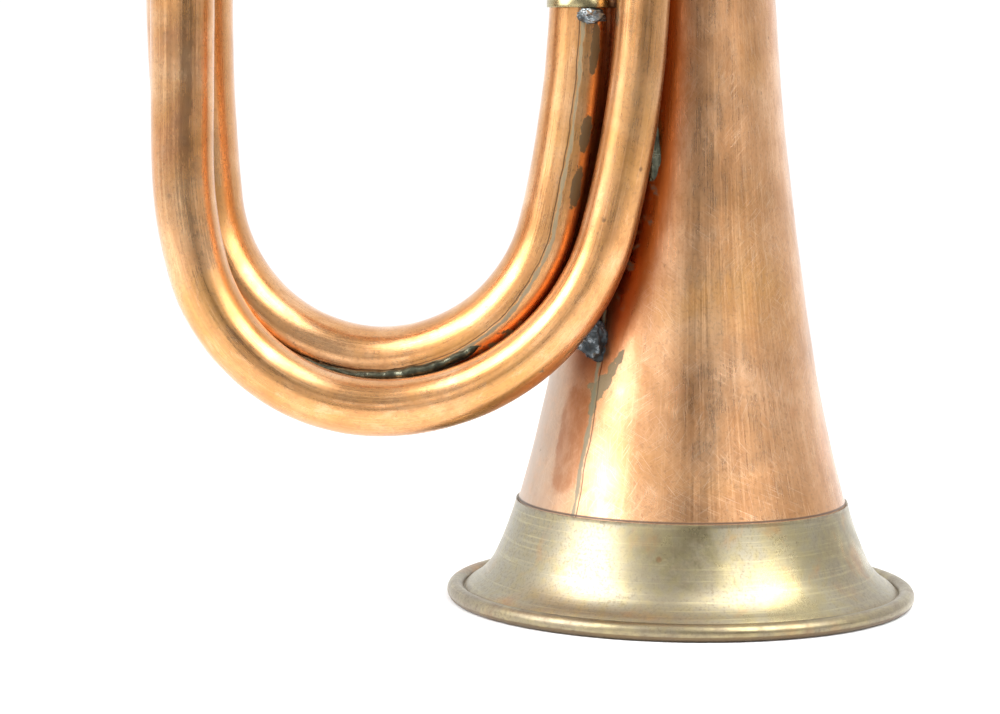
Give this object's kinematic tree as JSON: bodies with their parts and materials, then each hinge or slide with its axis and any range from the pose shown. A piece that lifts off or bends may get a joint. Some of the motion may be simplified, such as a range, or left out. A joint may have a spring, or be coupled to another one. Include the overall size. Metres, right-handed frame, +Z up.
{
  "type": "bugle",
  "caption": "Double-coiled copper duty bugle with a brass garland rolled over the bell's rim, brass sleeves and receiver, a removable cup mouthpiece and lanyard rings, standing on its bell.",
  "frame": {"origin": "centre of the bell's rim, on the surface that the rim stands on", "axes": "+Z up the bell's axis towards the mouthpiece, -X towards the coils, -Y the side on which the first coil passes in front of the bell"},
  "size_m": [0.1964, 0.115, 0.3285],
  "materials": {
    "copper": "hand-polished copper, worn, with fine scratches and brown tarnish",
    "brass": "worn brass, dull yellow-olive with brighter rubbed patches",
    "mouthpiece_brass": "turned brass, polished",
    "ring_wire": "drawn brass wire",
    "wire": "plain iron wire, hidden in the rolled rim",
    "solder": "dull grey soft solder"
  },
  "bodies": {
    "horn": {"bell_flare": "copper", "first_front_bow": "copper", "second_front_bow": "copper", "first_rear_bow": "copper", "second_rear_bow": "copper", "mouthpipe": "copper", "bell_garland": "brass", "mouthpipe_sleeve": "brass", "first_front_sleeve": "brass", "second_front_sleeve": "brass", "second_rear_sleeve": "brass", "bell_sleeve": "brass", "mouthpiece_receiver": "brass", "mouthpipe_stay": "brass", "rear_bow_stay": "brass", "lanyard_eyelet_left": "brass", "lanyard_eyelet_right": "brass", "rim_wire": "wire", "bell_stay": "solder", "neck_solder": "solder", "bow_seam_solder": "solder"},
    "mouthpiece": {"mouthpiece": "mouthpiece_brass"},
    "ring_left": {"lanyard_ring_left": "ring_wire"},
    "ring_right": {"lanyard_ring_right": "ring_wire"}
  },
  "joints": [
    {"name": "mouthpiece_pull", "type": "slide", "parent": "horn", "child": "mouthpiece", "axis": [0, 0, 1], "range_m": [0, 0.03]},
    {"name": "ring_left_swing", "type": "hinge", "parent": "horn", "child": "ring_left", "pos_m": [-0.13546, -0.01032, 0.2025], "axis": [-0.0759, 0.9971, 0], "range_deg": [-6, 170]},
    {"name": "ring_right_swing", "type": "hinge", "parent": "horn", "child": "ring_right", "pos_m": [0.02144, 0.00163, 0.2037], "axis": [0.0759, -0.9971, 0], "range_deg": [-2, 170]}
  ]
}
